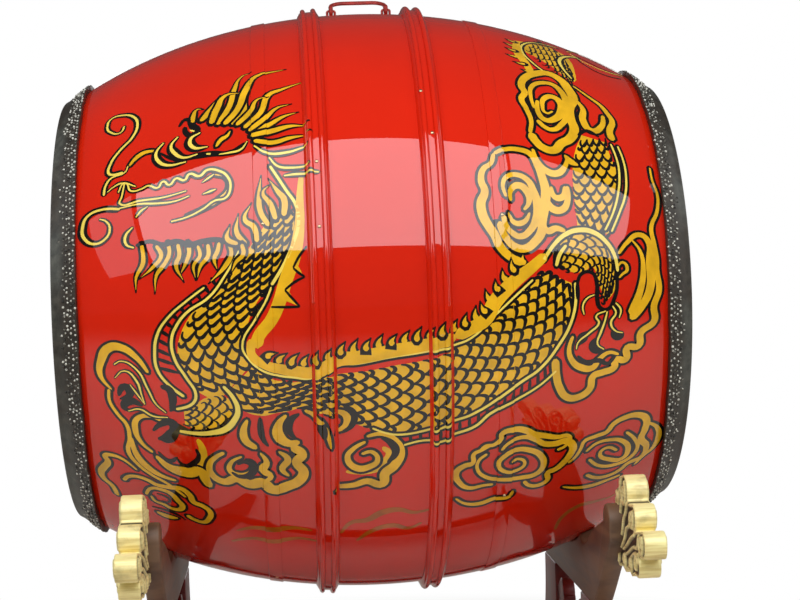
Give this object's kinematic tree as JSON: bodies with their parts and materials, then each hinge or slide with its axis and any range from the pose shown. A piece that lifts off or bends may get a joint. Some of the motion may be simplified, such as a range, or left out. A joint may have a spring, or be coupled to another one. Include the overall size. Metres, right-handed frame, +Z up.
{
  "type": "temple drum on carved stand",
  "caption": "Barrel drum with two hide heads, raised belly bands and a bail handle, lying on a wooden cradle stand with carved cloud-scroll horns.",
  "frame": {"origin": "on the floor, below the middle of the drum", "axes": "+X along the drum's axis, to the right as seen from the front; +Y towards the back; +Z up"},
  "size_m": [1.1206, 1.419, 1.4488],
  "materials": {
    "red_lacquer": "gloss red lacquer over wood, with painted gold and black ornament",
    "hide": "dark stretched hide",
    "red_iron": "red paint over forged iron",
    "bare_iron": "bare iron",
    "gilded_wood": "gold paint over carved wood",
    "brown_wood": "brown lacquer over wood",
    "red_wood": "dark red lacquer over wood"
  },
  "bodies": {
    "stand": {"cradle_board_left": "brown_wood", "lower_rail_left": "red_wood", "horn_left_front": "gilded_wood", "horn_dowel_left_front_1": "brown_wood", "horn_dowel_left_front_2": "brown_wood", "leg_left_front": "red_wood", "wedge_left_front": "brown_wood", "horn_left_rear": "gilded_wood", "horn_dowel_left_rear_1": "brown_wood", "horn_dowel_left_rear_2": "brown_wood", "leg_left_rear": "red_wood", "wedge_left_rear": "brown_wood", "cradle_board_right": "brown_wood", "lower_rail_right": "red_wood", "horn_right_front": "gilded_wood", "horn_dowel_right_front_1": "brown_wood", "horn_dowel_right_front_2": "brown_wood", "leg_right_front": "red_wood", "wedge_right_front": "brown_wood", "horn_right_rear": "gilded_wood", "horn_dowel_right_rear_1": "brown_wood", "horn_dowel_right_rear_2": "brown_wood", "leg_right_rear": "red_wood", "wedge_right_rear": "brown_wood", "stretcher_front": "red_wood", "stretcher_rear": "red_wood"},
    "drum": {"stave_01": "red_lacquer", "stave_02": "red_lacquer", "stave_03": "red_lacquer", "stave_04": "red_lacquer", "stave_05": "red_lacquer", "stave_06": "red_lacquer", "stave_07": "red_lacquer", "stave_08": "red_lacquer", "stave_09": "red_lacquer", "stave_10": "red_lacquer", "stave_11": "red_lacquer", "stave_12": "red_lacquer", "stave_13": "red_lacquer", "stave_14": "red_lacquer", "stave_15": "red_lacquer", "stave_16": "red_lacquer", "stave_17": "red_lacquer", "stave_18": "red_lacquer", "belly_band_left_core": "red_lacquer", "belly_band_left_rib_left": "red_lacquer", "belly_band_left_rib_right": "red_lacquer", "belly_band_right_core": "red_lacquer", "belly_band_right_rib_left": "red_lacquer", "belly_band_right_rib_right": "red_lacquer", "flat_hoop_left": "red_lacquer", "flat_hoop_right": "red_lacquer", "hide_left": "hide", "handle_staple_left": "red_iron", "clinch_plate_left": "bare_iron", "hide_right": "hide", "handle_staple_right": "red_iron", "clinch_plate_right": "bare_iron"},
    "handle": {"handle_bail": "red_iron"}
  },
  "joints": [
    {"name": "drum_lift", "type": "slide", "parent": "stand", "child": "drum", "axis": [0, 0, 1], "range_m": [0, 0.35]},
    {"name": "handle_swing", "type": "hinge", "parent": "drum", "child": "handle", "pos_m": [0.0055, 0, 1.4236], "axis": [1, 0, 0], "range_deg": [-32, 166]}
  ]
}
